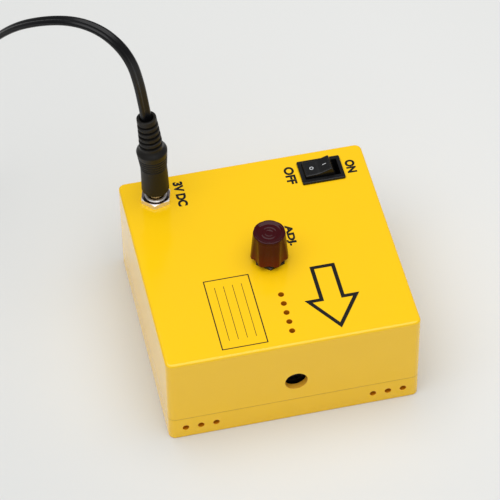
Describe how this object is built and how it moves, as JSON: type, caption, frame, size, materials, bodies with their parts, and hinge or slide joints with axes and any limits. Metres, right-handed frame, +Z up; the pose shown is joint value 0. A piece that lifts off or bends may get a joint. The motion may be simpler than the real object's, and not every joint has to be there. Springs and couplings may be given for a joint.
{
  "type": "laser light source",
  "caption": "Optics-lesson laser source: box held by magnets, top knob tilts the beam, rocker switch, round power inlet with plug, lead and plug-in supply.",
  "frame": {"origin": "middle of the case's underside", "axes": "+X to the right seen from the beam side, -Y is the way the beam leaves, +Z up"},
  "size_m": [0.2376, 0.1484, 0.1189],
  "materials": {
    "case_plastic": "moulded, glossy yellow",
    "magnet": "nickel plated",
    "screw_steel": "zinc plated",
    "bright_metal": "nickel plated, polished",
    "brass": "turned brass",
    "plug_plastic": "moulded, matte black",
    "black_plastic": "moulded, semi-gloss black",
    "knob_plastic": "dark red, translucent",
    "lead_plastic": "soft black insulation",
    "white_plastic": "moulded, off-white",
    "cradle_plastic": "moulded, dark grey",
    "spring_steel": "spring wire",
    "copper_alloy": "bronze strip",
    "lens_glass": "coated lens",
    "board_green": "glass-fibre board, solder mask",
    "can_sleeve": "printed sleeve",
    "resistor_body": "lacquered, beige",
    "wire_red": "red insulation",
    "wire_black": "black insulation",
    "core_steel": "laminated core with a yellow taped winding"
  },
  "bodies": {
    "case": {"top_shell": "case_plastic", "base_shell": "case_plastic", "holding_magnets": "magnet", "case_screws": "screw_steel", "jack_barrel": "bright_metal", "jack_nut": "bright_metal", "jack_insulator": "black_plastic", "jack_center_pin": "bright_metal", "jack_tag": "copper_alloy", "plug_barrel": "brass", "plug_insulator": "black_plastic", "plug_center_contact": "bright_metal", "plug_body": "plug_plastic", "supply_cord": "lead_plastic", "cord_coil": "lead_plastic", "supply_strain_relief": "lead_plastic", "supply_rear_case": "plug_plastic", "supply_front_case": "plug_plastic", "mains_pins": "bright_metal", "supply_board": "board_green", "supply_transformer": "core_steel", "switch_frame": "black_plastic", "switch_terminals": "copper_alloy", "adjuster_bushing": "bright_metal", "bushing_nut": "bright_metal", "pivot_pin": "screw_steel", "return_spring": "spring_steel", "circuit_board": "board_green", "board_screws": "screw_steel", "filter_capacitor": "can_sleeve", "protection_diode": "black_plastic", "driver_transistor": "black_plastic", "resistors": "resistor_body", "inlet_wire_red": "wire_red", "inlet_wire_black": "wire_black", "switch_wire_in": "wire_red", "switch_wire_out": "wire_red", "laser_wire_red": "wire_red", "laser_wire_black": "wire_black"},
    "rocker": {"switch_rocker": "black_plastic", "switch_plunger": "white_plastic", "switch_spring": "spring_steel"},
    "contact": {"switch_contact": "copper_alloy"},
    "foot": {"thrust_foot": "white_plastic"},
    "knob": {"knob_cap": "knob_plastic", "knob_insert": "brass", "adjuster_screw": "screw_steel"},
    "cradle": {"laser_cradle": "cradle_plastic", "clamp_cap": "cradle_plastic", "clamp_screws": "screw_steel", "laser_barrel": "brass", "lens_cell": "brass", "collimating_lens": "lens_glass", "focus_spring": "spring_steel", "laser_diode": "bright_metal", "laser_driver_board": "board_green"}
  },
  "joints": [
    {"name": "rocker_tilt", "type": "hinge", "parent": "case", "child": "rocker", "pos_m": [0.0279, 0.0336, 0.03542], "axis": [0, 1, 0], "range_deg": [0, 25]},
    {"name": "contact_tilt", "type": "hinge", "parent": "case", "child": "contact", "pos_m": [0.0279, 0.0336, 0.02927], "axis": [0, 1, 0], "range_deg": [-12, 0]},
    {"name": "screw_travel", "type": "slide", "parent": "case", "child": "foot", "axis": [0, 0, 1], "range_m": [-0.0007, 0.0007]},
    {"name": "knob_turn", "type": "hinge", "parent": "foot", "child": "knob", "pos_m": [0.0005, -0.0034, 0], "axis": [0, 0, 1], "range_deg": [-360, 360]},
    {"name": "cradle_tilt", "type": "hinge", "parent": "case", "child": "cradle", "pos_m": [0.0005, -0.026, 0.0088], "axis": [1, 0, 0], "range_deg": [-1.78, 1.78], "deforming": ["return_spring", "laser_wire_red", "laser_wire_black"]}
  ],
  "couplings": [
    {"joint": "contact_tilt", "follows": "rocker_tilt", "ratio": -0.48},
    {"joint": "knob_turn", "follows": "screw_travel", "rad_per_m": 8975.9},
    {"joint": "cradle_tilt", "follows": "screw_travel", "rad_per_m": 44.25}
  ]
}
